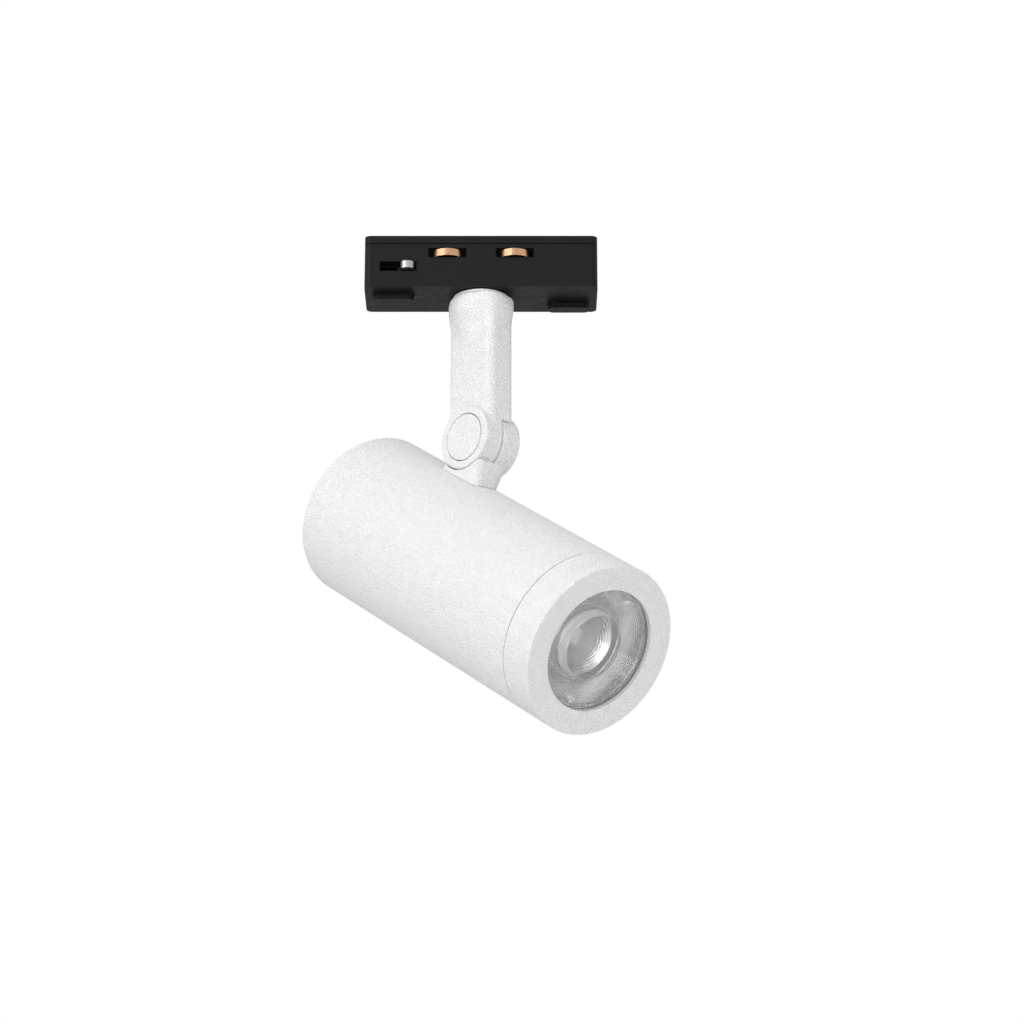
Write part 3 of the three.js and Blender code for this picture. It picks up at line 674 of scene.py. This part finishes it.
def bake_modifiers(obj, tools=()):
    """Puts the modifiers' result in the mesh, and removes the tools that they used."""
    for m in list(obj.modifiers):
        if m.type == "WEIGHTED_NORMAL":
            obj.modifiers.remove(m)
    graph = bpy.context.evaluated_depsgraph_get()
    mesh = bpy.data.meshes.new_from_object(obj.evaluated_get(graph))
    obj.modifiers.clear()
    obj.data = mesh
    for t in tools:
        bpy.data.objects.remove(t)
    mesh.set_sharp_from_angle(angle=math.radians(35))
    weights = obj.modifiers.new("weighted_normals", "WEIGHTED_NORMAL")
    weights.keep_sharp = True


piece(housing(), "head", "housing_tube")
piece(front_ring(), "front_ring", "front_bezel")
piece(optic(), "head", "optic_lens")
piece(rear_plate(), "head", "rear_cap")
piece(cap("cap_head", 1), "head", "pivot_cap_head")
piece(cap("cap_stem", -1), "stem", "pivot_cap_stem")
bracket = cast("bracket", bracket_field, (-12, -9, -20), (16, 9, 12), 0.25, HEAD)
piece(bracket, "head", "tilt_bracket")
stem = cast("stem_casting", stem_field, (-12, -12, -12), (12, 12, 50), 0.3, STEM)
piece(stem, "stem", "stem")

# ---- CAD nodes that stay: softened edges and their materials -------------------------------------
EDGES_MM = {"adapter_body": 0.3, "adapter_cover": 0.3, "lock_lever_front": 0.3, "lock_lever_rear": 0.3}
for name, node in frame["nodes"].items():
    if node.hide_render:
        continue
    paint(node, SLOT_OF[name])
    bevel = node.modifiers.new("edges", "BEVEL")
    bevel.width = EDGES_MM.get(name, 0.08) * MM
    bevel.segments = 3
    bevel.limit_method = "ANGLE"
    bevel.angle_limit = math.radians(40)
    bevel.harden_normals = False

# ---- Stage ---------------------------------------------------------------------------------------


def floor(height, reach):
    """A plain pale floor, far below the hanging lamp."""
    mesh = bpy.data.meshes.new("floor")
    corners = [(x * reach, y * reach, height) for x, y in ((-1, -1), (1, -1), (1, 1), (-1, 1))]
    mesh.from_pydata(corners, [], [(0, 1, 2, 3)])
    obj = link("floor", mesh)
    m = Nodes("floor")
    m.set(Base_Color=m.mix(m.noise(300, 2.0), (0.784, 0.784, 0.784), (0.8, 0.8, 0.8)), Roughness=0.9)
    obj.data.materials.append(m.material)


FLOOR_Z = -1.25
SCREEN = Vector((-0.6, -0.5, -0.6)).normalized()
floor(FLOOR_Z, 4)


def softbox(name, at, target, size, power):
    light = bpy.data.lights.new(name, "AREA")
    light.shape = "RECTANGLE"
    light.size, light.size_y = size
    light.energy = power
    obj = bpy.data.objects.new(name, light)
    bpy.context.scene.collection.objects.link(obj)
    obj.location = at
    obj.rotation_mode = "QUATERNION"
    obj.rotation_quaternion = (Vector(target) - Vector(at)).to_track_quat("-Z", "Y")


middle = (cad_box[0] + cad_box[1]) / 2
softbox("key", (-0.85, -1.3, 0.1), middle, (0.9, 0.9), 11.4)
softbox("strip_left", (-1.1, -0.7, 0.9), middle, (0.18, 0.9), 1.6)
softbox("front", (0.8, -0.9, -0.9), middle, (0.5, 0.5), 3.0)

# The room lights the object from all round, a little less from below, with one dark screen at its lower
# front that the lens reflects. The camera sees plain white.
world = bpy.data.worlds.new("studio")
bpy.context.scene.world = world
world.use_nodes = True
room = world.node_tree


def room_node(kind, inputs, **settings):
    node = room.nodes.new(kind)
    for key, value in settings.items():
        setattr(node, key, value)
    for key, value in inputs.items():
        if isinstance(value, bpy.types.NodeSocket):
            room.links.new(value, node.inputs[key])
        else:
            node.inputs[key].default_value = value
    return node


direction = room_node("ShaderNodeTexCoord", {}).outputs["Generated"]
height = room_node("ShaderNodeSeparateXYZ", {0: direction}).outputs["Z"]
glow = room_node("ShaderNodeMapRange", {0: height, 1: -0.8, 2: 0.8, 3: 0.58, 4: 0.80}).outputs[0]
towards = room_node("ShaderNodeVectorMath", {0: direction, 1: SCREEN}, operation="DOT_PRODUCT")
facing = towards.outputs["Value"]
dark = room_node("ShaderNodeMapRange", {0: facing, 1: 0.94, 2: 0.96, 3: 1.0, 4: 0.05}).outputs[0]
light = room_node("ShaderNodeMath", {0: glow, 1: dark}, operation="MULTIPLY").outputs[0]
to_camera = room_node("ShaderNodeLightPath", {}).outputs["Is Camera Ray"]
seen = room_node("ShaderNodeMix", {0: to_camera, 2: light, 3: 1.0})
background = room.nodes["Background"]
background.inputs["Color"].default_value = (1, 1, 1, 1)
room.links.new(seen.outputs[0], background.inputs["Strength"])

# ---- Camera, at the photo's angle ----------------------------------------------------------------
camera = bpy.data.objects.new("camera", bpy.data.cameras.new("camera"))
bpy.context.scene.collection.objects.link(camera)
bpy.context.scene.camera = camera
camera.data.sensor_width = 36
camera.data.lens = 114.07
camera.location = PIN + Vector((10.11, -978.0, -376.2)) * MM
camera.rotation_euler = (math.radians(90 + 19.82), 0, 0)
bpy.context.scene.view_settings.view_transform = "Standard"

# The optic is clear solids inside a mirrored cup, and goes dark when light paths are cut off early.
LIGHT_PATHS = {"max_bounces": 32, "transmission_bounces": 32, "glossy_bounces": 16, "diffuse_bounces": 8}
for name, count in LIGHT_PATHS.items():
    setattr(bpy.context.scene.cycles, name, count)
